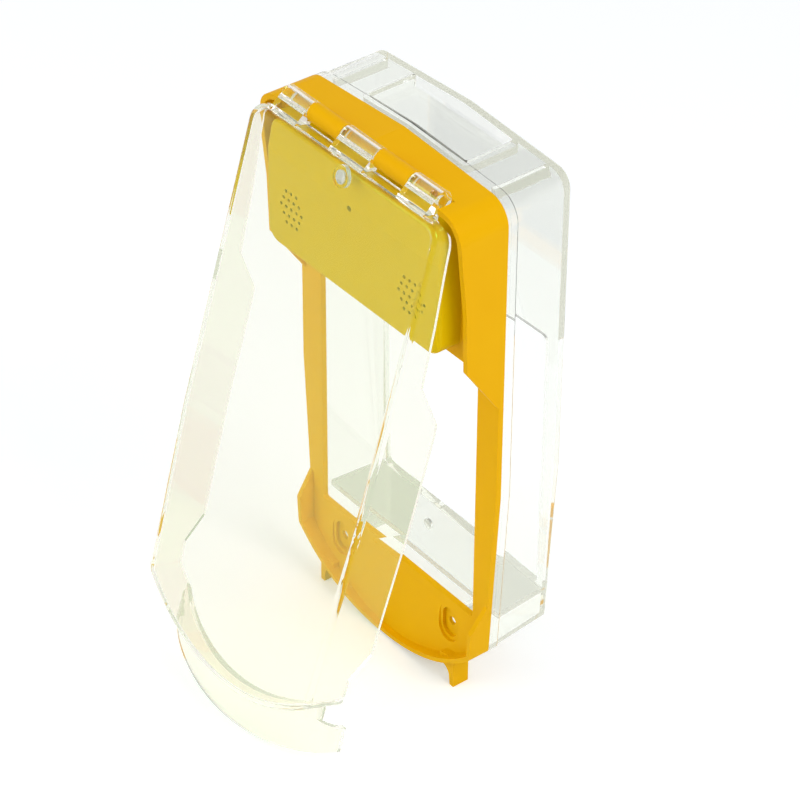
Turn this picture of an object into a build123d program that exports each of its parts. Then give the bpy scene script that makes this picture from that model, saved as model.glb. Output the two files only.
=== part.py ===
"""Call point cover: clear back box, yellow frame with a sounder, and a clear lid hinged at its top.

Millimetres. X is to the right, Y goes back to the wall, Z is up. The origin is on the wall plane, in the
middle of the four wall holes. Heights below are counted from the floor the box stands on, and depths from
the joint between frame and back box; the plane helpers carry both to the origin. The lid stands open, with
its lip on the floor.
"""
import os
from math import cos, radians, sin, sqrt

from build123d import *

os.makedirs("parts", exist_ok=True)

# Frame and box outline, seen from the front
WIDTH = 110.0
HALF = WIDTH / 2
SHOULDER = 215.3       # the shallow gable's height at the sides
TOP = SHOULDER + 3.1   # and at its ridge
CORNER_R = 9.4
TAPER_Z = SHOULDER - 120.3  # below this the sides lean in
LOW_HALF = HALF - 4.4
ARC_R = 72.0           # curved bottom edge
ARC_Z = 0.8
LOW_R = 3.0

# Back box
BOX_DEPTH = 28.8
BOX_DRAFT = 2.45
RIM_DEPTH = 4.0
RIM_WALL = 2.9
WALL = 2.5
SHELF_TOP = 36.5
SHELF_Y = 4.8          # its front edge
OPENING_W = WIDTH - 22.4  # 87.6: an 87 mm call point and 0.3 mm each side
LINTEL_Z = SHOULDER - 65.3
BACK_OPEN_TOP = LINTEL_Z - 4.0
WALL_HOLE_R = 2.25
WALL_HOLE_X = 18.0
WALL_HOLE_Z = (22.0, SHOULDER - 43.3)
BOSS_XZ = (HALF - 23.5, 23.6)
POCKET_Y = (4.5, BOX_DEPTH - 3.3)  # conduit recess in the top wall, front to back
POCKET = (54.0, POCKET_Y[1] - POCKET_Y[0])
POCKET_LOW = 5.6       # its floor, below the ridge
POCKET_WALL = 1.6
RIB_X = HALF - 12.0

# Frame
FACE = 2.2             # thickness of the thin rim
SILL_Z = 34.2
HOOD_LOW = LINTEL_Z + 5.0
PLATE_Y = -13.0        # front of the plate behind the sounder housing
PLATE_T = 2.0
FLANGE = 2.2
HOOD_WALL = 2.5
BLOCK_Y = 9.0          # how far the lower corners stand forward
PRONG_X = HALF - 15.6
PRONG_T = 2.1
PRONG_Y = 7.0

# Hinge
HINGE_Y = -17.1
HINGE_Z = SHOULDER + 1.9
BARREL_R = 3.6
PIN_R = 2.0
PIN_RUN = 0.05         # running clearance of the lid's barrels on the pin
BARREL_END = HALF - 13.0
BARREL_CUTS = (9.3, BARREL_END - 14.7)
PIN_HALF = BARREL_END - 4.0
BARREL_GAP = 0.2       # half of the gap between neighbouring barrels
OPEN = 16.7            # degrees, as the lid stands propped open

# Lid, in its closed position
LID_Y = -25.3
LID_WALL = 2.0
LID_HALF = HALF - 3.2
LID_LOW_HALF = HALF - 5.7
LID_TOP = SHOULDER - 2.1
LID_CORNER_R = 8.0
LID_ARC_R = 75.0
LID_ARC_Z = 6.8
LIP_LOW = -8.93
LIP_R = 106.0
LIP_SPAN = (HALF - 7.0, 14.0)  # half axes of the lip's outer ellipse, seen from above
LIP_T = 2.0
LIP_Y = -3.0

# Sounder housing
SND_HALF = HALF - 8.0
SND_Z = (HOOD_LOW + 3.6, SHOULDER - 6.3)
SND_MID = sum(SND_Z) / 2
SND_Y = -22.5
SND_WALL = 2.0
GRILLE_X, GRILLE_Z = HALF - 22.15, SND_Z[0] + 18.4
DIMPLE_Z = SND_Z[1] - 14.3
BOARD_Y = -15.0        # front face of the board
BOARD_T = 1.6


ROW_Y = -BOX_DEPTH
ROW_Z = -sum(WALL_HOLE_Z) / 2


def arc_z(x, radius, low):
    return low + radius - sqrt(radius ** 2 - x ** 2)


def outline(grow=0.0, lift=0.0):
    """The outline that frame and box share, from the front, its top lifted, then grown or shrunk evenly."""
    h = HALF
    with BuildSketch() as sk:
        with BuildLine():
            low = (LOW_HALF, arc_z(LOW_HALF, ARC_R, ARC_Z))
            Polyline(low, (h, TAPER_Z), (h, SHOULDER + lift), (0, TOP + lift), (-h, SHOULDER + lift),
                     (-h, TAPER_Z), (-low[0], low[1]))
            ThreePointArc((-low[0], low[1]), (0, ARC_Z), low)
        make_face()
        fillet([v for v in sk.vertices() if abs(abs(v.X) - h) < 0.1 and v.Y > TAPER_Z + 1], CORNER_R)
        fillet([v for v in sk.vertices() if v.Y < low[1] + 1], LOW_R)
        if grow:
            offset(amount=grow)
    return sk.sketch


def front(y):
    """Plane seen from the front: local x to the right, local y up, extruding forward."""
    return Plane(origin=(0, y + ROW_Y, ROW_Z), x_dir=(1, 0, 0), z_dir=(0, -1, 0))


def side(x):
    """Plane seen from the right: local x to the wall, local y up, extruding to the right."""
    return Plane(origin=(x, ROW_Y, ROW_Z), x_dir=(0, 1, 0), z_dir=(1, 0, 0))


def swing(x, y, z):
    """Carry a point of the closed lid to the open lid."""
    c, s = cos(radians(OPEN)), sin(radians(OPEN))
    dy, dz = y - HINGE_Y, z - HINGE_Z
    return (x, HINGE_Y + dy * c + dz * s + ROW_Y, HINGE_Z - dy * s + dz * c + ROW_Z)


DOWN = Plane(origin=(0, sum(POCKET_Y) / 2 + ROW_Y, TOP + ROW_Z), x_dir=(1, 0, 0), z_dir=(0, 0, -1))
C, S = cos(radians(OPEN)), sin(radians(OPEN))
LID_SIDE = Plane(origin=swing(0, 0, 0), x_dir=(0, C, -S), z_dir=(1, 0, 0))


def lid_front(y):
    return Plane(origin=swing(0, y, 0), x_dir=(1, 0, 0), z_dir=(0, -C, S))


def lid_plan(z):
    return Plane(origin=swing(0, 0, z), x_dir=(1, 0, 0), z_dir=(0, S, C))


# Back box: a rim, a drafted body, a shelf and a back wall with a call point opening
with BuildPart() as back_box:
    with BuildSketch(front(0)):
        add(outline())
    extrude(amount=-RIM_DEPTH)
    with BuildSketch(front(RIM_DEPTH)):
        add(outline(-0.6))
    with BuildSketch(front(BOX_DEPTH)):
        add(outline(-BOX_DRAFT, BOX_DRAFT))
    loft(ruled=True)
    fillet(back_box.faces().sort_by(Axis.Y)[-1].edges(), 1.2)
    with BuildSketch(front(0)):
        add(outline(-RIM_WALL))
    with BuildSketch(front(BOX_DEPTH - WALL)):
        add(outline(-BOX_DRAFT - WALL, BOX_DRAFT))
    loft(ruled=True, mode=Mode.SUBTRACT)
    with BuildSketch(front(SHELF_Y)):
        with Locations((0, SHELF_TOP - WALL / 2)):
            Rectangle(2 * LOW_HALF - 3.4, WALL)
    extrude(amount=-(BOX_DEPTH - WALL + 1 - SHELF_Y))
    with BuildSketch(front(0)):
        with Locations((BOSS_XZ[0], BOSS_XZ[1]), (-BOSS_XZ[0], BOSS_XZ[1])):
            Circle(4.0)
    extrude(amount=-(BOX_DEPTH - 1.0))
    with BuildSketch(front(0)):
        with Locations((BOSS_XZ[0], BOSS_XZ[1]), (-BOSS_XZ[0], BOSS_XZ[1])):
            Circle(1.6)
    extrude(amount=-14, mode=Mode.SUBTRACT)
    with BuildSketch(front(BOX_DEPTH - WALL - 1)):
        with Locations((0, (SHELF_TOP + BACK_OPEN_TOP) / 2)):
            RectangleRounded(OPENING_W, BACK_OPEN_TOP - SHELF_TOP, 2)
        with Locations(*[(sx * WALL_HOLE_X, z) for sx in (-1, 1) for z in WALL_HOLE_Z]):
            Circle(WALL_HOLE_R)
    extrude(amount=-(WALL + 2), mode=Mode.SUBTRACT)
    # recess in the top wall, where a conduit can enter, with walls and a floor that hang into the box
    with BuildSketch(DOWN.offset(WALL - 0.1)):
        RectangleRounded(POCKET[0] + 2 * POCKET_WALL, POCKET[1] + 2 * POCKET_WALL, 3)
    extrude(amount=POCKET_LOW + POCKET_WALL - WALL + 0.1)
    with BuildSketch(DOWN.offset(-2)):
        RectangleRounded(*POCKET, 1.5)
    extrude(amount=POCKET_LOW + 2, taper=6, mode=Mode.SUBTRACT)
    # a rib under the top wall at each upper corner
    with BuildSketch(DOWN.offset(WALL + 1.5)):
        with Locations((RIB_X, 0), (-RIB_X, 0)):
            Rectangle(POCKET_WALL, POCKET[1] + 2 * POCKET_WALL)
    extrude(amount=4.4)
back_box.part.label = "back_box"
export_step(back_box.part, "parts/back_box.step")

# Scooped front of the lower panel, cut out of the frame
with BuildPart() as scoop:
    with BuildSketch(front(0)):
        add(outline(-1.8))
    extrude(amount=14)
    with BuildSketch(side(-WIDTH)):
        with BuildLine():
            Polyline((-6.4, -2), (-14, -2), (-14, SILL_Z + 10), (-FACE, SILL_Z + 10), (-FACE, SILL_Z + 4))
            Spline((-FACE, SILL_Z + 4), (-3.1, 23), (-6.4, 3), tangents=((-0.02, -1), (-0.35, -1)))
            Line((-6.4, 3), (-6.4, -2))
        make_face()
    extrude(amount=2 * WIDTH, mode=Mode.INTERSECT)

FRONT_PROFILE = [(0.5, -1), (-BLOCK_Y, -1), (-BLOCK_Y, SILL_Z - 0.7), (-FACE, SILL_Z + 9.3),
                 (-FACE, HOOD_LOW - 20.9), (-16.2, HOOD_LOW - 0.4), (-16.9, HOOD_LOW + 23),
                 (-20.2, SHOULDER - 4.9), (-20.2, TOP + 6), (0.5, TOP + 6)]
SND_SCREWS = [(sx * (SND_HALF - 4.7), z) for sx in (-1, 1) for z in (SND_Z[0] + 4.8, SND_Z[1] - 5.5)]
BACK_SCREWS = [(sx * (HALF - 6.2), z) for sx in (-1, 1) for z in (SND_Z[0] + 4.4, SND_Z[1] - 6.0)]
BOARD_SCREWS = [(sx * 18.0, z) for sx in (-1, 1) for z in (SND_Z[0] + 7.6, SND_Z[1] - 9.4)]
SCREW_R = 1.1
SCREW_HEAD = 2.1

with BuildPart() as frame:
    with BuildSketch(front(0)):
        add(outline())
    extrude(amount=21.5)
    with BuildSketch(side(-WIDTH)):
        with BuildLine():
            Polyline(*FRONT_PROFILE, close=True)
        make_face()
    extrude(amount=2 * WIDTH, mode=Mode.INTERSECT)
    add(scoop.part, mode=Mode.SUBTRACT)
    # room for the lid and the sounder between the hood's side flanges
    with BuildSketch(front(PLATE_Y)):
        add(outline(-FLANGE))
        with Locations((0, HOOD_LOW - TOP)):
            Rectangle(2 * WIDTH, 2 * TOP, mode=Mode.SUBTRACT)
    extrude(amount=12, mode=Mode.SUBTRACT)
    with BuildSketch(front(-FACE)):
        with Locations((0, HOOD_LOW - 15)):
            Rectangle(WIDTH - 2 * FLANGE, 30)
    extrude(amount=22, mode=Mode.SUBTRACT)
    # the hood's hollow, open at the back
    with BuildSketch(front(0)):
        add(outline(-HOOD_WALL))
        with Locations((0, HOOD_LOW + FLANGE - TOP)):
            Rectangle(2 * WIDTH, 2 * TOP, mode=Mode.SUBTRACT)
    extrude(amount=-(PLATE_Y + PLATE_T), mode=Mode.SUBTRACT)
    # the top wall stands back behind the barrels
    with BuildSketch(front(PLATE_Y)):
        with Locations((0, SHOULDER)):
            Rectangle(2 * (BARREL_END + 1), 20)
    extrude(amount=12, mode=Mode.SUBTRACT)
    # window for the call point
    with BuildSketch(front(1)):
        with Locations((0, (SILL_Z + LINTEL_Z) / 2)):
            RectangleRounded(OPENING_W, LINTEL_Z - SILL_Z, 1.2)
    extrude(amount=20, mode=Mode.SUBTRACT)
    # way through the plate for the battery
    with BuildSketch(front(PLATE_Y + PLATE_T + 1)):
        with Locations((0, SND_MID - 0.6)):
            RectangleRounded(2 * SND_HALF - 14.4, SND_Z[1] - SND_Z[0] - 10.4, 2)
    extrude(amount=4, mode=Mode.SUBTRACT)
    # oval pockets with a screw hole each
    with BuildSketch(front(-2.6)):
        with Locations(*[(sx * BOSS_XZ[0], BOSS_XZ[1]) for sx in (-1, 1)]):
            SlotOverall(15.5, 11.0, rotation=90)
    extrude(amount=10, mode=Mode.SUBTRACT)
    with BuildSketch(front(-1.3)):
        with Locations(*[(sx * BOSS_XZ[0], BOSS_XZ[1]) for sx in (-1, 1)]):
            SlotOverall(12.5, 8.0, rotation=90)
    extrude(amount=10, mode=Mode.SUBTRACT)
    with BuildSketch(front(1)):
        with Locations(*[(sx * BOSS_XZ[0], BOSS_XZ[1]) for sx in (-1, 1)]):
            Circle(1.75)
    extrude(amount=10, mode=Mode.SUBTRACT)
    # two prongs below the curved edge
    with BuildSketch(front(0)):
        with BuildLine():
            root, tip = PRONG_X - 7.8, PRONG_X - PRONG_T
            low = arc_z(root, ARC_R, ARC_Z) - 0.4
            Polyline((root, low), (root, low + 4.3), (PRONG_X, arc_z(PRONG_X, ARC_R, ARC_Z) + 1.5),
                     (PRONG_X, 0), (tip, 0), (tip - 0.5, low - 3.3))
            ThreePointArc((tip - 0.5, low - 3.3), (tip - 2, low - 0.9), (root, low))
        make_face()
        mirror(about=Plane.YZ)
    extrude(amount=PRONG_Y)
    # columns for the screws of the alarm back
    with BuildSketch(front(-1.8)):
        with Locations(*BACK_SCREWS):
            Circle(2.8)
    extrude(amount=-(PLATE_Y + PLATE_T) - 1.8)
    with BuildSketch(front(-1.8)):
        with Locations(*BACK_SCREWS):
            Circle(SCREW_R)
    extrude(amount=7.4, mode=Mode.SUBTRACT)
    with BuildSketch(front(PLATE_Y + PLATE_T)):
        with Locations(*SND_SCREWS):
            Circle(SCREW_R + 0.1)
    extrude(amount=PLATE_T, mode=Mode.SUBTRACT)
    # hinge barrels with their webs
    for x0 in (BARREL_CUTS[0] + BARREL_GAP, -BARREL_CUTS[1] + BARREL_GAP):
        with BuildSketch(side(x0)):
            with Locations((HINGE_Y, HINGE_Z)):
                Circle(BARREL_R)
            with BuildLine():
                Polyline((HINGE_Y, HINGE_Z + BARREL_R), (PLATE_Y + 1, HINGE_Z), (PLATE_Y + 1, HINGE_Z - 4.2),
                         (PLATE_Y - 1.6, HINGE_Z - 4.2), (HINGE_Y + 1, HINGE_Z - 2.8), close=True)
            make_face()
            with Locations((HINGE_Y, HINGE_Z)):
                Circle(PIN_R, mode=Mode.SUBTRACT)
        extrude(amount=BARREL_CUTS[1] - BARREL_CUTS[0] - 2 * BARREL_GAP)
frame.part.label = "frame"
export_step(frame.part, "parts/frame.step")

# Sounder housing
with BuildPart() as snd_hollow:
    with BuildSketch(side(-SND_HALF + SND_WALL)):
        with BuildLine():
            Polyline((PLATE_Y, SND_Z[0] + SND_WALL), (SND_Y + SND_WALL, SND_Z[0] + SND_WALL),
                     (SND_Y + SND_WALL, SND_Z[1] - 13.4), (SND_Y + 4.3, SND_Z[1] - SND_WALL),
                     (PLATE_Y, SND_Z[1] - SND_WALL), close=True)
        make_face()
    extrude(amount=2 * (SND_HALF - SND_WALL))
    with BuildSketch(front(-5)):
        with Locations((0, SND_MID)):
            RectangleRounded(2 * (SND_HALF - SND_WALL), SND_Z[1] - SND_Z[0] - 2 * SND_WALL, 4)
    extrude(amount=20, mode=Mode.INTERSECT)
with BuildPart() as sounder_housing:
    with BuildSketch(side(-SND_HALF)):
        with BuildLine():
            Polyline((PLATE_Y, SND_Z[0]), (SND_Y, SND_Z[0]), (SND_Y, SND_Z[1] - 13), (SND_Y + 2.7, SND_Z[1]),
                     (PLATE_Y, SND_Z[1]), close=True)
        make_face()
    extrude(amount=2 * SND_HALF)
    with BuildSketch(front(-5)):
        with Locations((0, SND_MID)):
            RectangleRounded(2 * SND_HALF, SND_Z[1] - SND_Z[0], 6)
    extrude(amount=20, mode=Mode.INTERSECT)
    fillet([e for e in sounder_housing.edges() if e.center().Y < ROW_Y - 19.0], 1.8)
    add(snd_hollow.part, mode=Mode.SUBTRACT)
    with BuildSketch(front(PLATE_Y)):
        with Locations(*SND_SCREWS):
            Circle(2.3)
    extrude(until=Until.NEXT)
    with BuildSketch(front(PLATE_Y)):
        with Locations(*SND_SCREWS):
            Circle(SCREW_R)
    extrude(amount=5.2, mode=Mode.SUBTRACT)
    with BuildSketch(front(BOARD_Y)):
        with Locations(*BOARD_SCREWS):
            Circle(2.0)
    extrude(until=Until.NEXT)
    with BuildSketch(front(BOARD_Y)):
        with Locations(*BOARD_SCREWS):
            Circle(0.9)
    extrude(amount=4.2, mode=Mode.SUBTRACT)
    with BuildSketch(front(-18)):
        for sx in (-1, 1):
            for row, count in enumerate((3, 4, 5, 4, 3)):
                with Locations(*[(sx * GRILLE_X + 2.9 * (k - (count - 1) / 2), GRILLE_Z + 3.2 * (row - 2))
                                 for k in range(count)]):
                    Circle(0.7)
        with Locations((0, DIMPLE_Z)):
            Circle(1.1)
    extrude(amount=8, mode=Mode.SUBTRACT)
sounder_housing.part.label = "sounder_housing"
export_step(sounder_housing.part, "parts/sounder_housing.step")


def lid_outline(grow):
    """The lid's outline in its own front view, grown or shrunk evenly."""
    with BuildSketch() as sk:
        with BuildLine():
            low = (LID_LOW_HALF, arc_z(LID_LOW_HALF, LID_ARC_R, LID_ARC_Z))
            Polyline(low, (LID_HALF, TAPER_Z), (LID_HALF, LID_TOP), (-LID_HALF, LID_TOP), (-LID_HALF, TAPER_Z),
                     (-low[0], low[1]))
            ThreePointArc((-low[0], low[1]), (0, LID_ARC_Z), low)
        make_face()
        fillet([v for v in sk.vertices() if v.Y > TAPER_Z + 1], LID_CORNER_R)
        fillet([v for v in sk.vertices() if v.Y < low[1] + 1], 5)
        offset(amount=grow)
    return sk.sketch


LID_BACK = -1.5
MAGNET_Z = LID_TOP - 6.7
LID_FRONT_GROW, LID_BACK_GROW = -0.9, 0.55
LID_EDGE = [(-21, LID_TOP + 3), (-21, LID_TOP - 1.5), (-18.4, LID_TOP - 4.4), (-17.6, LID_TOP - 9),
            (-17.2, LID_TOP - 15), (PLATE_Y - 2, LID_TOP - 38), (PLATE_Y - 0.6, HOOD_LOW - 2.5),
            (-FACE - 0.8, HOOD_LOW - 17.4), (-FACE - 0.4, HOOD_LOW - 22), (-FACE - 0.4, SILL_Z + 10.3),
            (-BLOCK_Y - 0.4, SILL_Z + 0.6), (-BLOCK_Y - 0.4, -12), (6, -12), (6, LID_TOP + 3)]

# Lid: the drafted shell
with BuildPart() as lid_hollow:
    with BuildSketch(lid_front(LID_Y + LID_WALL)):
        add(lid_outline(LID_FRONT_GROW - LID_WALL + 0.12))
    with BuildSketch(lid_front(LID_BACK + 1)):
        add(lid_outline(LID_BACK_GROW - LID_WALL + 0.06))
    loft(ruled=True)
    fillet(lid_hollow.faces().sort_by(Axis((0, 0, 0), (0, C, -S)))[0].edges(), 1.0)
with BuildPart() as edge_cut:
    with BuildSketch(LID_SIDE.offset(-WIDTH)):
        with BuildLine():
            Polyline(*LID_EDGE, close=True)
        make_face()
    extrude(amount=2 * WIDTH)
    with BuildSketch(LID_SIDE.offset(-BARREL_END - 1)):
        with Locations((-24, LID_TOP - 3.2)):
            Rectangle(11, 9)
    extrude(amount=2 * BARREL_END + 2, mode=Mode.SUBTRACT)
with BuildPart() as lip:
    with BuildSketch(lid_plan(-14)):
        with Locations((0, LIP_Y)):
            Ellipse(*LIP_SPAN)
            Ellipse(LIP_SPAN[0] - LIP_T, LIP_SPAN[1] - LIP_T, mode=Mode.SUBTRACT)
        with Locations((0, LIP_Y + 20)):
            Rectangle(2 * WIDTH, 40, mode=Mode.SUBTRACT)
    extrude(amount=40)
    with BuildSketch(lid_front(4)):
        with BuildLine():
            top = arc_z(BARREL_END, LID_ARC_R, LID_ARC_Z) + 0.8
            wing = arc_z(BARREL_END, ARC_R, ARC_Z) - 1.0
            end = (LIP_SPAN[0] + 2, arc_z(LIP_SPAN[0] + 2, LIP_R, LIP_LOW))
            ThreePointArc((-end[0], end[1]), (0, LIP_LOW), end)
            Polyline(end, (end[0], wing), (BARREL_END, wing), (BARREL_END, top))
            ThreePointArc((BARREL_END, top), (0, LID_ARC_Z + 0.8), (-BARREL_END, top))
            Polyline((-BARREL_END, top), (-BARREL_END, wing), (-end[0], wing), (-end[0], end[1]))
        make_face()
    extrude(amount=30, mode=Mode.INTERSECT)
    with BuildSketch(LID_SIDE.offset(-WIDTH)):
        with Locations((-BLOCK_Y - 0.4 + 10, wing - 0.8 + 10)):
            Rectangle(20, 20)
    extrude(amount=2 * WIDTH, mode=Mode.SUBTRACT)
with BuildPart() as cover:
    with BuildSketch(lid_front(LID_Y)):
        add(lid_outline(LID_FRONT_GROW))
    with BuildSketch(lid_front(LID_BACK)):
        add(lid_outline(LID_BACK_GROW))
    loft(ruled=True)
    fillet(cover.faces().sort_by(Axis((0, 0, 0), (0, C, -S)))[0].edges(), 2.4)
    add(lid_hollow.part, mode=Mode.SUBTRACT)
    add(edge_cut.part, mode=Mode.SUBTRACT)
    # the bottom wall is open behind the lip
    with BuildSketch(lid_plan(-14)):
        with Locations((0, LIP_Y)):
            Ellipse(LIP_SPAN[0] - LIP_T, LIP_SPAN[1] - LIP_T)
    extrude(amount=36, mode=Mode.SUBTRACT)
    add(lip.part)
    # clear barrels with their webs
    for x0, x1 in ((-BARREL_END, -BARREL_CUTS[1] - BARREL_GAP),
                   (-BARREL_CUTS[0] + BARREL_GAP, BARREL_CUTS[0] - BARREL_GAP),
                   (BARREL_CUTS[1] + BARREL_GAP, BARREL_END)):
        with BuildSketch(LID_SIDE.offset(x0)):
            with Locations((HINGE_Y, HINGE_Z)):
                Circle(BARREL_R)
            with BuildLine():
                Polyline((HINGE_Y - 3.4, HINGE_Z + 0.8), (LID_Y + 0.9, LID_TOP - 0.8),
                         (LID_Y + 3.3, LID_TOP - 2), (HINGE_Y - 1.4, LID_TOP - 2),
                         (HINGE_Y - 0.2, HINGE_Z - 3.4), close=True)
            make_face()
            with Locations((HINGE_Y, HINGE_Z)):
                Circle(PIN_R + PIN_RUN, mode=Mode.SUBTRACT)
        extrude(amount=x1 - x0)
    # boss that holds the magnet
    with BuildSketch(lid_front(LID_Y + LID_WALL)):
        with Locations((0, MAGNET_Z)):
            Circle(3.8)
    extrude(amount=-1.7)
    with BuildSketch(lid_front(LID_Y + LID_WALL + 1.7)):
        with Locations((0, MAGNET_Z)):
            Circle(2.5)
    extrude(amount=1.5, mode=Mode.SUBTRACT)
cover.part.label = "lid"
export_step(cover.part, "parts/lid.step")

with BuildPart() as cover_magnet:
    with BuildSketch(lid_front(LID_Y + LID_WALL + 1.7)):
        with Locations((0, MAGNET_Z)):
            Circle(2.5)
    extrude(amount=1.5)
cover_magnet.part.label = "lid_magnet"
export_step(cover_magnet.part, "parts/lid_magnet.step")

with BuildPart() as hinge_pin:
    with BuildSketch(side(-PIN_HALF)):
        with Locations((HINGE_Y, HINGE_Z)):
            Circle(PIN_R)
    extrude(amount=2 * PIN_HALF)
    chamfer(hinge_pin.edges().filter_by(GeomType.CIRCLE), 0.4)
hinge_pin.part.label = "hinge_pin"
export_step(hinge_pin.part, "parts/hinge_pin.step")

# Inside the hood: 9 V block and what carries it
BAT_Y = (-12.3, 5.2)
BAT_Z = (SND_MID - 15.8, SND_MID + 10.7)
BAT_HALF = 24.25
BAT_MID = (sum(BAT_Y) / 2, sum(BAT_Z) / 2)
STUD = 6.35            # half the spacing of the battery's studs
BAY_FLOOR = 5.3
BAY_WALL = 1.7
BAY_X = (-24.5, 29.6)

with BuildPart() as battery:
    with BuildSketch(side(-BAT_HALF)):
        with Locations(BAT_MID):
            RectangleRounded(BAT_Y[1] - BAT_Y[0], BAT_Z[1] - BAT_Z[0], 2)
    extrude(amount=2 * BAT_HALF)
    with BuildSketch(side(BAT_HALF)):
        with Locations((BAT_MID[0], BAT_MID[1] - STUD)):
            Circle(2.7)
        with Locations((BAT_MID[0], BAT_MID[1] + STUD)):
            RegularPolygon(3.6, 6)
    extrude(amount=2.4)
battery.part.label = "battery"
export_step(battery.part, "parts/battery.step")

with BuildPart() as battery_snap:
    with BuildSketch(side(BAT_HALF)):
        with Locations(BAT_MID):
            RectangleRounded(12, 25.4, 3)
        with Locations((BAT_MID[0], BAT_MID[1] - STUD)):
            Circle(2.7, mode=Mode.SUBTRACT)
        with Locations((BAT_MID[0], BAT_MID[1] + STUD)):
            RegularPolygon(3.6, 6, mode=Mode.SUBTRACT)
    extrude(amount=2.4)
    with BuildSketch(side(BAT_HALF + 2.4)):
        with Locations(BAT_MID):
            RectangleRounded(12, 25.4, 3)
    extrude(amount=1.2)
battery_snap.part.label = "battery_snap"
export_step(battery_snap.part, "parts/battery_snap.step")

with BuildPart() as battery_pad:
    with BuildSketch(front(BAT_Y[0])):
        with Locations((0, BAT_MID[1])):
            RectangleRounded(38, 20, 1)
    extrude(amount=BAT_Y[0] - (BOARD_Y + BOARD_T))
battery_pad.part.label = "battery_pad"
export_step(battery_pad.part, "parts/battery_pad.step")

with BuildPart() as alarm_back:
    with BuildSketch(front(0)):
        add(outline(-HOOD_WALL - 0.2))
        with Locations((0, HOOD_LOW + FLANGE + 0.2 - TOP)):
            Rectangle(2 * WIDTH, 2 * TOP, mode=Mode.SUBTRACT)
        with Locations((0, SHOULDER - 4.1 + 20)):
            Rectangle(2 * WIDTH, 40, mode=Mode.SUBTRACT)
    extrude(amount=1.8)
    with BuildSketch(front(0)):
        with Locations((sum(BAY_X) / 2, BAT_MID[1])):
            RectangleRounded(BAY_X[1] - BAY_X[0] + 2 * BAY_WALL, BAT_Z[1] - BAT_Z[0] + 0.4 + 2 * BAY_WALL, 2.5)
    extrude(amount=-BAY_FLOOR - BAY_WALL)
    fillet(alarm_back.faces().sort_by(Axis.Y)[-1].edges(), 1.2)
    with BuildSketch(front(BAY_FLOOR)):
        with Locations((sum(BAY_X) / 2, BAT_MID[1])):
            RectangleRounded(BAY_X[1] - BAY_X[0], BAT_Z[1] - BAT_Z[0] + 0.4, 0.5)
    extrude(amount=12, mode=Mode.SUBTRACT)
    with BuildSketch(front(5)):
        with Locations(*BACK_SCREWS):
            Circle(SCREW_R + 0.1)
    extrude(amount=12, mode=Mode.SUBTRACT)
alarm_back.part.label = "alarm_back"
export_step(alarm_back.part, "parts/alarm_back.step")

# The board and what stands on it
with BuildPart() as circuit_board:
    with BuildSketch(front(BOARD_Y)):
        with Locations((0, SND_MID + 0.2)):
            Rectangle(2 * (SND_HALF - SND_WALL) - 2.4, SND_Z[1] - SND_Z[0] - 10)
        with Locations(*SND_SCREWS):
            Circle(3.0, mode=Mode.SUBTRACT)
        with Locations(*BOARD_SCREWS):
            Circle(1.1, mode=Mode.SUBTRACT)
    extrude(amount=-BOARD_T)
circuit_board.part.label = "circuit_board"
export_step(circuit_board.part, "parts/circuit_board.step")

with BuildPart() as piezo_sounders:
    with BuildSketch(front(BOARD_Y)):
        with Locations((-GRILLE_X, GRILLE_Z), (GRILLE_X, GRILLE_Z)):
            Circle(10.8)
    extrude(amount=4.8)
    fillet(piezo_sounders.faces().sort_by(Axis.Y)[:2].edges(), 0.8)
    with BuildSketch(front(BOARD_Y - 3)):
        with Locations((-GRILLE_X, GRILLE_Z), (GRILLE_X, GRILLE_Z)):
            Circle(1.6)
    extrude(amount=3, mode=Mode.SUBTRACT)
piezo_sounders.part.label = "piezo_sounders"
export_step(piezo_sounders.part, "parts/piezo_sounders.step")

with BuildPart() as indicator_led:
    with BuildSketch(front(BOARD_Y)):
        with Locations((0, DIMPLE_Z)):
            Circle(1.9)
    extrude(amount=1)
    with BuildSketch(front(BOARD_Y - 1)):
        with Locations((0, DIMPLE_Z)):
            Circle(1.5)
    extrude(amount=3.8)
    fillet(indicator_led.edges().sort_by(Axis.Y)[0], 1.3)
indicator_led.part.label = "indicator_led"
export_step(indicator_led.part, "parts/indicator_led.step")

with BuildPart(Plane((0, ROW_Y, ROW_Z))) as control_chip:
    with Locations((0, BOARD_Y - 1.3, SND_MID - 5.8)):
        Box(9, 1.6, 4)
    with Locations(*[(1.27 * (k - 2.5), BOARD_Y - 0.4, SND_MID - 5.8 + sz * 2.5)
                     for k in range(6) for sz in (-1, 1)]):
        Box(0.5, 0.8, 1.6)
control_chip.part.label = "control_chip"
export_step(control_chip.part, "parts/control_chip.step")

with BuildPart() as booster_coil:
    with BuildSketch(front(BOARD_Y)):
        with Locations((-12, SND_MID + 2.2)):
            Circle(4)
    extrude(amount=1)
    with BuildSketch(front(BOARD_Y - 1)):
        with Locations((-12, SND_MID + 2.2)):
            Circle(2.9)
    extrude(amount=2.4)
    with BuildSketch(front(BOARD_Y - 3.4)):
        with Locations((-12, SND_MID + 2.2)):
            Circle(4)
    extrude(amount=1)
booster_coil.part.label = "booster_coil"
export_step(booster_coil.part, "parts/booster_coil.step")

with BuildPart() as capacitor:
    with BuildSketch(front(BOARD_Y)):
        with Locations((12, SND_MID + 3.2)):
            Circle(3.15)
    extrude(amount=5)
    fillet(capacitor.edges().sort_by(Axis.Y)[0], 0.5)
capacitor.part.label = "capacitor"
export_step(capacitor.part, "parts/capacitor.step")

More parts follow.
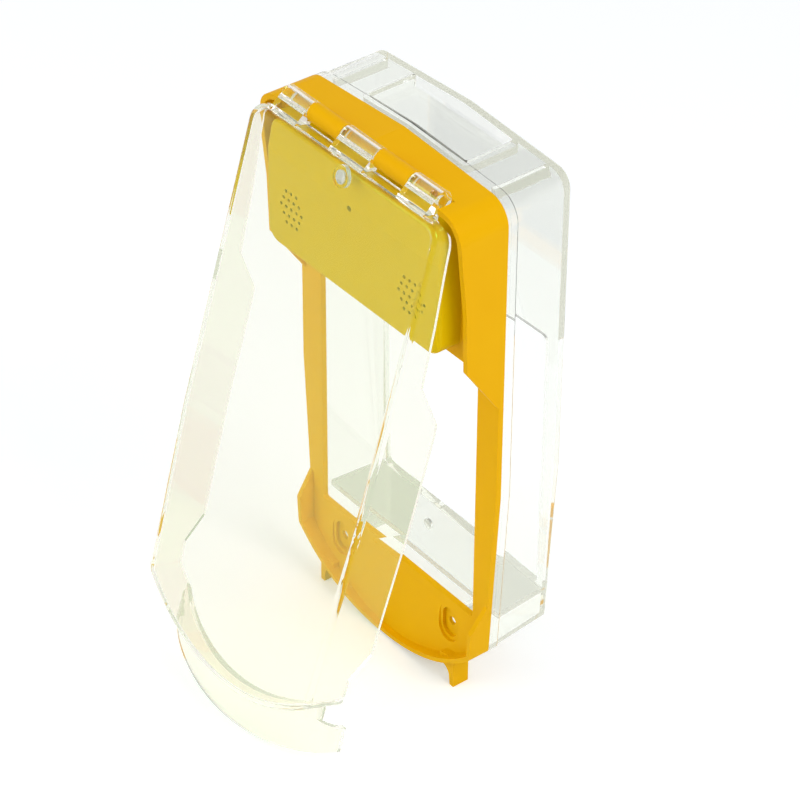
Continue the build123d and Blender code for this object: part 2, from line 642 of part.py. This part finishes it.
with BuildPart(Plane((0, ROW_Y, ROW_Z))) as setting_switch:
    with Locations((13, BOARD_Y - 1.4, SND_MID - 10.8)):
        Box(7.6, 2.8, 6)
    with Locations((11.7, BOARD_Y - 3.1, SND_MID - 9.6), (14.3, BOARD_Y - 3.1, SND_MID - 12.0)):
        Box(1.1, 0.6, 1.3)
setting_switch.part.label = "setting_switch"
export_step(setting_switch.part, "parts/setting_switch.step")

with BuildPart(Plane((0, ROW_Y, ROW_Z))) as reed_switch:
    with BuildSketch(side(-5)):
        with Locations((BOARD_Y - 1.5, SND_Z[1] - 7)):
            Circle(1.1)
    extrude(amount=10)
    for sx in (-1, 1):
        with Locations((sx * 6.1, BOARD_Y - 1.5, SND_Z[1] - 7)):
            Box(2.4, 0.5, 0.5)
        with Locations((sx * 7.05, BOARD_Y - 0.8, SND_Z[1] - 7)):
            Box(0.5, 1.6, 0.5)
reed_switch.part.label = "reed_switch"
export_step(reed_switch.part, "parts/reed_switch.step")


def screws(places, seat, length, radius, head, rise):
    """Pan-head screws, all pointing forward from the seat plane."""
    with BuildPart() as group:
        with BuildSketch(front(seat)):
            with Locations(*places):
                Circle(radius)
        extrude(amount=length)
        with BuildSketch(front(seat)):
            with Locations(*places):
                Circle(head)
        extrude(amount=-rise)
        fillet(group.edges().filter_by(GeomType.CIRCLE).group_by(Axis.Y)[-1], 0.5)
        with BuildSketch(front(seat + rise)):
            with Locations(*places):
                Rectangle(2.4, 0.55)
                Rectangle(0.55, 2.4)
        extrude(amount=0.8, mode=Mode.SUBTRACT)
    return group.part


alarm_back_screws = screws(BACK_SCREWS, 0, 8.0, SCREW_R, SCREW_HEAD, 1.6)
alarm_back_screws.label = "alarm_back_screws"
export_step(alarm_back_screws, "parts/alarm_back_screws.step")

housing_screws = screws(SND_SCREWS, PLATE_Y + PLATE_T, 6.5, SCREW_R, SCREW_HEAD, 1.6)
housing_screws.label = "housing_screws"
export_step(housing_screws, "parts/housing_screws.step")

board_screws = screws(BOARD_SCREWS, BOARD_Y + BOARD_T, 5.4, 0.9, 1.7, 1.2)
board_screws.label = "board_screws"
export_step(board_screws, "parts/board_screws.step")
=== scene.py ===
# %% [markdown]
# # A clear call point cover
# The object is a wall box for a fire alarm's call point: a clear back box, a yellow frame with a
# sounder behind its hood, and a clear lid on a hinge at the top, here propped open on the floor.
# The solids come from the CAD model. Blender gives them smooth moulded surfaces, real plastics,
# a white studio and the photograph's camera.

import math

import bmesh
import bpy
import numpy as np
from mathutils import Matrix, Vector


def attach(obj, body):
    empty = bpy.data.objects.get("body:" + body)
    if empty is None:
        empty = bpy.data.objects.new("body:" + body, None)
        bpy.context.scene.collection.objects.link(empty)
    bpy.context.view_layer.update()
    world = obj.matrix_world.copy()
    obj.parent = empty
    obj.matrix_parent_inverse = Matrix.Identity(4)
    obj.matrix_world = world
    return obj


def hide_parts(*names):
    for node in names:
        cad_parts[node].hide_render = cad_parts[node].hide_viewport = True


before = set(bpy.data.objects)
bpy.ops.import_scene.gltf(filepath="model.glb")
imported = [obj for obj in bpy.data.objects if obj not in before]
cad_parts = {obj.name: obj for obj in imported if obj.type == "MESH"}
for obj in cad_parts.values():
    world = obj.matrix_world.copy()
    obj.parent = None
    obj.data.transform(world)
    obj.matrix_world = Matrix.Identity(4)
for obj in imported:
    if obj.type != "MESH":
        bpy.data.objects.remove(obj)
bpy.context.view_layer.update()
MM = 0.001

# %% [markdown]
# ## Where things are
# The origin is on the wall plane, in the middle of the four wall holes. Heights and depths below are
# easier to read from the floor and from the joint between frame and box, so one function turns them
# into the model's own coordinates.

# %% The floor's height and the joint's depth
JOINT_Y, FLOOR_Z = -28.8, -97.0


def place(x, y, z):
    """Millimetres from the joint plane and the floor, as metres from the origin."""
    return Vector((x, y + JOINT_Y, z + FLOOR_Z)) * MM


# %% [markdown]
# ## Nodes and colours
# Every finish is a small node tree. One function adds a node with its settings and links, and one
# turns the hex colours that a designer writes into the linear numbers that Blender mixes.

# %% Helpers for materials
def linear(hex_colour):
    """sRGB hex to linear: below 0.04045 a straight line, above it a power of 2.4."""
    c = np.array([int(hex_colour[i:i + 2], 16) for i in (1, 3, 5)]) / 255
    c = np.where(c <= 0.04045, c / 12.92, ((c + 0.055) / 1.055) ** 2.4)
    return (*map(float, c), 1.0)


def add(tree, kind, links=None, values=None, **settings):
    """A node of that kind; links maps an input to another node's output, values to a plain value."""
    n = tree.nodes.new(kind)
    for key, value in settings.items():
        setattr(n, key, value)
    for key, value in (values or {}).items():
        n.inputs[key].default_value = value
    for key, out in (links or {}).items():
        tree.links.new(out, n.inputs[key])
    return n


def new_tree(name):
    """An empty material tree and its output node."""
    mat = bpy.data.materials.new(name)
    mat.use_nodes = True
    mat.node_tree.nodes.clear()
    return mat, mat.node_tree, add(mat.node_tree, "ShaderNodeOutputMaterial")


def object_noise(tree, per_metre, detail=3.0, rough=0.5):
    """Noise in the object's own space, so many waves to the metre."""
    at = add(tree, "ShaderNodeTexCoord")
    return add(tree, "ShaderNodeTexNoise", links={"Vector": at.outputs["Object"]},
               values={"Scale": per_metre, "Detail": detail, "Roughness": rough})


# %% [markdown]
# ## Yellow frame plastic
# Frame and sounder housing are injection moulded in ABS, the housing in a slightly greener yellow. A
# moulded face is satin, with a faint orange-peel waviness and uneven gloss where the mould was
# polished by hand. Both come from noise, one for roughness and one for a shallow bump. The surface
# reflection is kept weak, because a white studio reflected in full would add blue to the yellow and
# turn it pale.

# %% Yellow ABS
def moulded_abs(name, hex_colour, deep_hex, roughness, peel_strength):
    mat, t, out = new_tree(name)
    broad = object_noise(t, 35, 2)
    colour = add(t, "ShaderNodeMix", data_type="RGBA",
                 links={0: broad.outputs["Fac"]},
                 values={6: linear(hex_colour), 7: linear(deep_hex)})
    fine = object_noise(t, 900, 4, 0.6)
    gloss = add(t, "ShaderNodeMapRange", links={"Value": fine.outputs["Fac"]},
                values={"To Min": roughness - 0.06, "To Max": roughness + 0.08})
    peel = object_noise(t, 420, 3)
    bump = add(t, "ShaderNodeBump", links={"Height": peel.outputs["Fac"]},
               values={"Strength": peel_strength, "Distance": 0.02 * MM})
    bsdf = add(t, "ShaderNodeBsdfPrincipled",
               links={"Base Color": colour.outputs[2], "Roughness": gloss.outputs[0],
                      "Normal": bump.outputs[0]},
               values={"IOR": 1.53, "Specular IOR Level": 0.06})
    t.links.new(bsdf.outputs[0], out.inputs[0])
    return mat


YELLOW = moulded_abs("ABS_yellow_moulded", "#FFC200", "#FCBA00", 0.45, 0.15)
LEMON = moulded_abs("ABS_lemon_moulded", "#F3CC00", "#EFC600", 0.45, 0.03)

# %% [markdown]
# ## Clear polycarbonate
# Box, lid and hinge pin are polished clear polycarbonate. It bends light more than acrylic does, so
# edges gather bright lines, and thick paths turn faintly green-yellow by absorption. A few hundredths
# of the surface scatter like a fine haze, as handled plastic does. The lid's specular tint is green,
# which moves the yellow seen through it towards lemon and leaves white nearly white. Shadow rays pass
# lightly tinted, because the floor under a clear lid is hardly darker.
# Light that has bounced several times is replaced by a fixed light-grey glow, which is painted light.
# This is a stand-in, because such paths came out black, which clear plastic in a white room doesn't
# show.

# %% Polycarbonate
def clear_plastic(name, tint, shade, density, haze, haze_hex, trapped, sheen="#FFFFFF"):
    """Clear plastic; trapped is the number of bounces after which the plastic glows light grey, as
    painted light.
    """
    mat, t, out = new_tree(name)
    waves = object_noise(t, 55, 2)
    bump = add(t, "ShaderNodeBump", links={"Height": waves.outputs["Fac"]},
               values={"Strength": 0.1, "Distance": 0.05 * MM})
    bsdf = add(t, "ShaderNodeBsdfPrincipled", links={"Normal": bump.outputs[0]},
               values={"Base Color": linear(tint), "Roughness": 0.015, "IOR": 1.585,
                       "Transmission Weight": 1.0, "Specular Tint": linear(sheen)})
    front = add(t, "ShaderNodeBsdfDiffuse", values={"Color": linear(haze_hex)})
    rear = add(t, "ShaderNodeBsdfTranslucent", values={"Color": linear(haze_hex)})
    veil = add(t, "ShaderNodeMixShader",
               links={1: front.outputs[0], 2: rear.outputs[0]}, values={0: 0.5})
    body = add(t, "ShaderNodeMixShader",
               links={1: bsdf.outputs[0], 2: veil.outputs[0]}, values={0: haze})
    path = add(t, "ShaderNodeLightPath")
    lost = add(t, "ShaderNodeMath", operation="GREATER_THAN", links={0: path.outputs["Ray Depth"]},
               values={1: trapped})
    # painted light: past the trapped depth the plastic glows this fixed light grey
    painted_glow = add(t, "ShaderNodeEmission", values={"Color": linear("#E4E5DC")})
    seen = add(t, "ShaderNodeMixShader",
               links={0: lost.outputs[0], 1: body.outputs[0], 2: painted_glow.outputs[0]})
    through = add(t, "ShaderNodeBsdfTransparent", values={"Color": linear(shade)})
    mixed = add(t, "ShaderNodeMixShader",
                links={0: path.outputs["Is Shadow Ray"], 1: seen.outputs[0], 2: through.outputs[0]})
    inside = add(t, "ShaderNodeVolumeAbsorption",
                 values={"Color": linear("#E9EBC8"), "Density": density})
    t.links.new(mixed.outputs[0], out.inputs["Surface"])
    t.links.new(inside.outputs[0], out.inputs["Volume"])
    return mat


CLEAR_BOX = clear_plastic("Polycarbonate_clear_box", "#FDFEFB", "#F8F8F6", 6.0, 0.03, "#E4E6DC", 4)
CLEAR_LID = clear_plastic("Polycarbonate_clear_lid", "#FAF8F1", "#F1FAEF", 4.0, 0.02, "#D4EA90", 5,
                          "#78FF70")
CLEAR_PIN = clear_plastic("Polycarbonate_clear_rod", "#FAFAF2", "#F8F8F6", 6.0, 0.03, "#E9E8D4", 6)

# %% [markdown]
# ## Hidden parts
# Battery, board and sounders are seen only from behind or below, through the clear box. Each keeps
# its CAD shape and gets the finish of the real part.

# %% Finishes of the parts inside
GLOSS_SPREAD = 0.08  # how far the roughness wanders to either side


def plain(name, hex_colour, roughness, metallic=0.0, grain=600):
    """A finish whose gloss and tone vary a little with noise."""
    mat, t, out = new_tree(name)
    speck = object_noise(t, grain)
    gloss = add(t, "ShaderNodeMapRange", links={"Value": speck.outputs["Fac"]},
                values={"To Min": roughness - GLOSS_SPREAD, "To Max": roughness + GLOSS_SPREAD})
    dark = [0.85 * v for v in linear(hex_colour)[:3]] + [1]
    colour = add(t, "ShaderNodeMix", data_type="RGBA", links={0: speck.outputs["Fac"]},
                 values={6: linear(hex_colour), 7: dark})
    bsdf = add(t, "ShaderNodeBsdfPrincipled",
               links={"Base Color": colour.outputs[2], "Roughness": gloss.outputs[0]},
               values={"Metallic": metallic})
    t.links.new(bsdf.outputs[0], out.inputs[0])
    return mat


FINISHES = {
    "alarm_back": plain("ABS_black_moulded", "#1C1C1D", 0.45),
    "battery": plain("Steel_printed_case", "#23252B", 0.35, 0.3),
    "battery_snap": plain("PVC_black_moulded", "#161616", 0.5),
    "battery_pad": plain("Foam_closed_cell", "#2A2A2C", 0.9, grain=2500),
    "circuit_board": plain("Fibreglass_green_mask", "#0E5A2C", 0.3),
    "piezo_sounders": plain("ABS_black_gloss", "#151515", 0.3),
    "indicator_led": plain("Epoxy_red_cast", "#B4160F", 0.15),
    "control_chip": plain("Epoxy_black_moulded", "#202022", 0.55),
    "booster_coil": plain("Ferrite_pressed", "#3A3634", 0.5),
    "capacitor": plain("Aluminium_sleeved", "#20242E", 0.35, 0.2),
    "setting_switch": plain("Nylon_white_moulded", "#E8E6DE", 0.4),
    "reed_switch": plain("Glass_green_drawn", "#8FA58B", 0.1),
    "lid_magnet": plain("Nickel_plated", "#E9E9E6", 0.3, 1.0),
    "alarm_back_screws": plain("Steel_zinc_plated_a", "#BFC2C6", 0.3, 1.0),
    "housing_screws": plain("Steel_zinc_plated_b", "#BFC2C6", 0.3, 1.0),
    "board_screws": plain("Steel_zinc_plated_c", "#BFC2C6", 0.3, 1.0),
}
for node, finish in FINISHES.items():
    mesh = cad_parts[node].data
    mesh.materials.clear()
    mesh.materials.append(finish)

# %% [markdown]
# ## Smooth moulded surfaces
# A CAD solid arrives as loose triangles with flat shading, which would show as facets in clear
# plastic. A copy of each seen moulding is merged, its real corners are kept sharp by their angle, and
# every tangent surface is shaded smoothly, with normals that follow the larger faces. The gable's
# ridge is too shallow to be found by its angle, so it is found by its place. The frame's corners get
# a small moulded rounding.

# %% Merged copies of the seen mouldings
ROOF = 118 * MM  # above this an edge at mid width is the gable's ridge
CORNER = math.radians(28)


def on_ridge(edge):
    """Whether an edge runs along the ridge, at mid width and high enough."""
    return (max(abs(v.co.x) for v in edge.verts) < 0.01 * MM
            and min(v.co.z for v in edge.verts) > ROOF)


def moulding(node, name, body, finish, bevel_mm=0.0):
    """A merged, smooth copy of a CAD node, in that node's place."""
    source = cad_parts[node]
    bm = bmesh.new()
    bm.from_mesh(source.data)
    bmesh.ops.remove_doubles(bm, verts=bm.verts, dist=0.004 * MM)
    bmesh.ops.dissolve_degenerate(bm, edges=bm.edges, dist=0.002 * MM)
    for e in bm.edges:
        e.smooth = len(e.link_faces) == 2 and e.calc_face_angle(0) < CORNER and not on_ridge(e)
    for f in bm.faces:
        f.smooth = True
    mesh = bpy.data.meshes.new(name)
    bm.to_mesh(mesh)
    bm.free()
    mesh.materials.append(finish)
    obj = bpy.data.objects.new(name, mesh)
    bpy.context.collection.objects.link(obj)
    if bevel_mm:
        bevel = obj.modifiers.new("rounded corners", "BEVEL")
        bevel.width = bevel_mm * MM
        bevel.segments = 2
        bevel.limit_method = "ANGLE"
        bevel.angle_limit = math.radians(40)
    weight = obj.modifiers.new("follow large faces", "WEIGHTED_NORMAL")
    weight.keep_sharp = True
    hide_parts(node)
    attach(obj, body)
    print(name, len(mesh.polygons), "faces")
    return obj


moulding("frame", "frame_moulding", "body", YELLOW, bevel_mm=0.3)
moulding("sounder_housing", "sounder_moulding", "body", LEMON)
moulding("back_box", "box_moulding", "body", CLEAR_BOX)
moulding("lid", "lid_moulding", "cover", CLEAR_LID)
moulding("hinge_pin", "hinge_rod", "body", CLEAR_PIN)

# %% [markdown]
# ## White studio
# The photograph is a cut-out on white with soft grey shadows. The floor is white and lit by the
# lamps, so it keeps the shadow. For rays that come from the camera, a reflection or through the clear
# plastic, it has a little light of its own, which lifts it to white. The same rays see a white room
# that is dimmer overhead, so that clear edges have something to contrast with.

# %% Floor and world
CEILING = 0.3     # brightness overhead, in reflections and through the plastic
LIFT = 0.3        # the floor's own light
HALF_FLOOR = 3.0  # metres from the middle to a side


def seen_ray(tree):
    """1 for a ray from the camera, off a reflection or through something clear; and the path node."""
    path = add(tree, "ShaderNodeLightPath")
    seen = add(tree, "ShaderNodeMath", operation="MAXIMUM",
               links={0: path.outputs["Is Camera Ray"], 1: path.outputs["Is Glossy Ray"]})
    seen = add(tree, "ShaderNodeMath", operation="MAXIMUM",
               links={0: seen.outputs[0], 1: path.outputs["Is Transmission Ray"]})
    return seen.outputs[0], path


def white_floor():
    corners = [(x * HALF_FLOOR, y * HALF_FLOOR, FLOOR_Z * MM)
               for x, y in ((-1, -1), (1, -1), (1, 1), (-1, 1))]
    mesh = bpy.data.meshes.new("floor")
    mesh.from_pydata(corners, [], [(0, 1, 2, 3)])
    floor = bpy.data.objects.new("floor", mesh)
    bpy.context.collection.objects.link(floor)
    mat, t, out = new_tree("Paper_white_matt")
    lit = add(t, "ShaderNodeBsdfDiffuse", values={"Color": linear("#F7F9FB")})
    glow = add(t, "ShaderNodeEmission", values={"Color": (1, 1, 1, 1)})
    seen, _ = seen_ray(t)
    lift = add(t, "ShaderNodeMath", operation="MULTIPLY", links={0: seen}, values={1: LIFT})
    t.links.new(lift.outputs[0], glow.inputs["Strength"])
    both = add(t, "ShaderNodeAddShader", links={0: lit.outputs[0], 1: glow.outputs[0]})
    t.links.new(both.outputs[0], out.inputs[0])
    mesh.materials.append(mat)


def white_room():
    world = bpy.data.worlds.new("studio")
    bpy.context.scene.world = world
    world.use_nodes = True
    t = world.node_tree
    t.nodes.clear()
    seen, path = seen_ray(t)
    soft = add(t, "ShaderNodeBackground", values={"Color": (0.97, 0.98, 1.0, 1), "Strength": 0.55})
    way = add(t, "ShaderNodeTexCoord")
    height = add(t, "ShaderNodeSeparateXYZ", links={0: way.outputs["Generated"]})
    dim = add(t, "ShaderNodeMapRange", links={"Value": height.outputs["Z"]},
              values={"From Min": 0.3, "From Max": 0.65, "To Min": 1.0, "To Max": CEILING})
    plain_white = add(t, "ShaderNodeMath", operation="MAXIMUM",
                      links={0: dim.outputs[0], 1: path.outputs["Is Camera Ray"]})
    shown = add(t, "ShaderNodeBackground", values={"Color": (1, 1, 1, 1)},
                links={"Strength": plain_white.outputs[0]})
    mix = add(t, "ShaderNodeMixShader", links={0: seen, 1: soft.outputs[0], 2: shown.outputs[0]})
    done = add(t, "ShaderNodeOutputWorld")
    t.links.new(mix.outputs[0], done.inputs[0])


white_floor()
white_room()

# %% [markdown]
# ## Lamps
# One soft lamp stands high on the right and lights the hood's top and right side. A larger and
# weaker one stands in front on the left and fills the front. The first throws the soft shadow to the
# left, the second a fainter one to the rear.

# %% Soft boxes
def soft_box(name, at, aim, size, watts):
    lamp = bpy.data.lights.new(name, "AREA")
    lamp.size = size
    lamp.energy = watts
    obj = bpy.data.objects.new(name, lamp)
    obj.location = at
    obj.rotation_euler = (Vector(aim) - Vector(at)).to_track_quat("-Z", "Y").to_euler()
    bpy.context.collection.objects.link(obj)


AIM = (0, -0.04, 0)
soft_box("key", (1.0, 0.1, 1.0), AIM, 0.6, 6.0)
soft_box("fill", (-0.5, -1.1, 0.75), AIM, 0.9, 4.5)

# %% [markdown]
# ## Camera
# The camera was solved from corners and edges measured on the photograph. Its three axes are the
# rows below, and its focal length is given in pixels of the 800-pixel frame. Light may bounce off
# matt surfaces twice, which lets the floor light the hood's shaded side.

# %% The photograph's view
RIGHT = Vector((0.61575442, 0.7879258, 0.00440773))
UP = -Vector((0.47385416, -0.36583028, -0.80101838))
BACK = -Vector((-0.62953057, 0.49531923, -0.59862353))
FOCAL_PX, FRAME_PX, SENSOR_MM = 3230.84, 800, 36.0
lens = bpy.data.cameras.new("camera")
lens.sensor_width = SENSOR_MM
lens.lens = FOCAL_PX / FRAME_PX * SENSOR_MM
lens.clip_end = 20
camera = bpy.data.objects.new("camera", lens)
spot = place(720.757, -568.469, 790.471)
camera.matrix_world = Matrix.Translation(spot) @ Matrix((RIGHT, UP, BACK)).transposed().to_4x4()
bpy.context.collection.objects.link(camera)
bpy.context.scene.camera = camera
bpy.context.scene.view_settings.view_transform = "Standard"
bpy.context.scene.cycles.diffuse_bounces = 2
bpy.context.scene.cycles.max_bounces = 24
bpy.context.scene.cycles.transmission_bounces = 24
bpy.context.scene.cycles.transparent_max_bounces = 24
